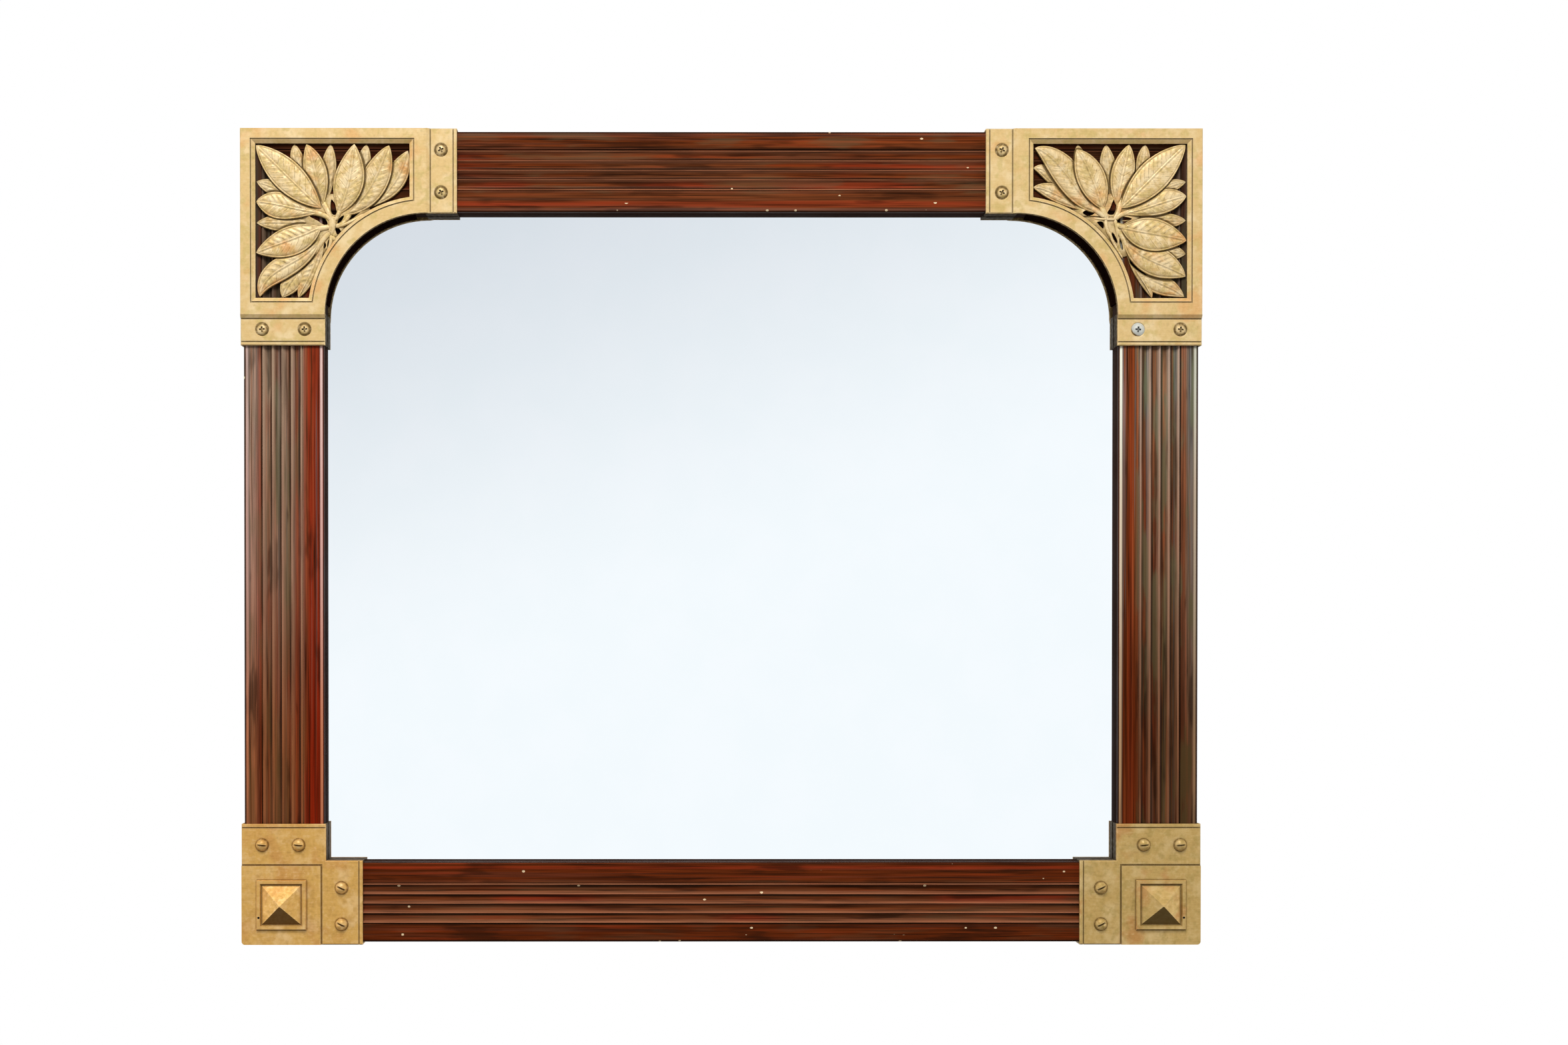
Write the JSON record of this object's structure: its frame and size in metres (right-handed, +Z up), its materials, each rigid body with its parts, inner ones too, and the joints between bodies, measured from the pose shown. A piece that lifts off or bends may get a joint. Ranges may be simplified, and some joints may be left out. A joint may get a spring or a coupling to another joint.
{
  "type": "wall mirror",
  "caption": "Landscape wall mirror with a fluted dark wood frame, arched leaf-cast brass brackets at the top corners and square pyramid-boss brass caps at the bottom corners.",
  "frame": {"origin": "midway between the round ends of the two hanging keyholes, in the plane of the frame's back", "axes": "+X to the right as seen from the front, +Z up the wall, +Y into the wall; the mirror faces -Y"},
  "size_m": [0.849, 0.0473, 0.721],
  "materials": {
    "stained_wood": "dark reddish brown stain and polish, rubbed on the beads",
    "bare_softwood": "sawn and planed, unfinished",
    "gilt_brass": "satin cream gold lacquer over cast brass",
    "aged_brass": "aged, brushed, olive in the hollows",
    "silvered_glass": "polished",
    "dull_steel": "plain, slightly dull"
  },
  "bodies": {
    "root": {"top_rail": "stained_wood", "bottom_rail": "stained_wood", "left_stile": "stained_wood", "right_stile": "stained_wood", "left_arch_block": "stained_wood", "right_arch_block": "stained_wood", "mitre_tongues": "bare_softwood", "glazing_blocks": "bare_softwood", "left_backboard": "bare_softwood", "middle_backboard": "bare_softwood", "right_backboard": "bare_softwood", "left_bracket": "gilt_brass", "right_bracket": "gilt_brass", "left_leaf_spray": "gilt_brass", "right_leaf_spray": "gilt_brass", "left_bracket_screws": "gilt_brass", "right_bracket_screws": "gilt_brass", "left_corner_cap": "aged_brass", "right_corner_cap": "aged_brass", "left_boss": "aged_brass", "right_boss": "aged_brass", "left_cap_screws": "aged_brass", "right_cap_screws": "aged_brass", "mirror_plate": "silvered_glass", "backboard_screws": "dull_steel", "boss_pins": "dull_steel", "left_hanger_plate": "dull_steel", "right_hanger_plate": "dull_steel", "hanger_screws": "dull_steel"}
  },
  "joints": []
}
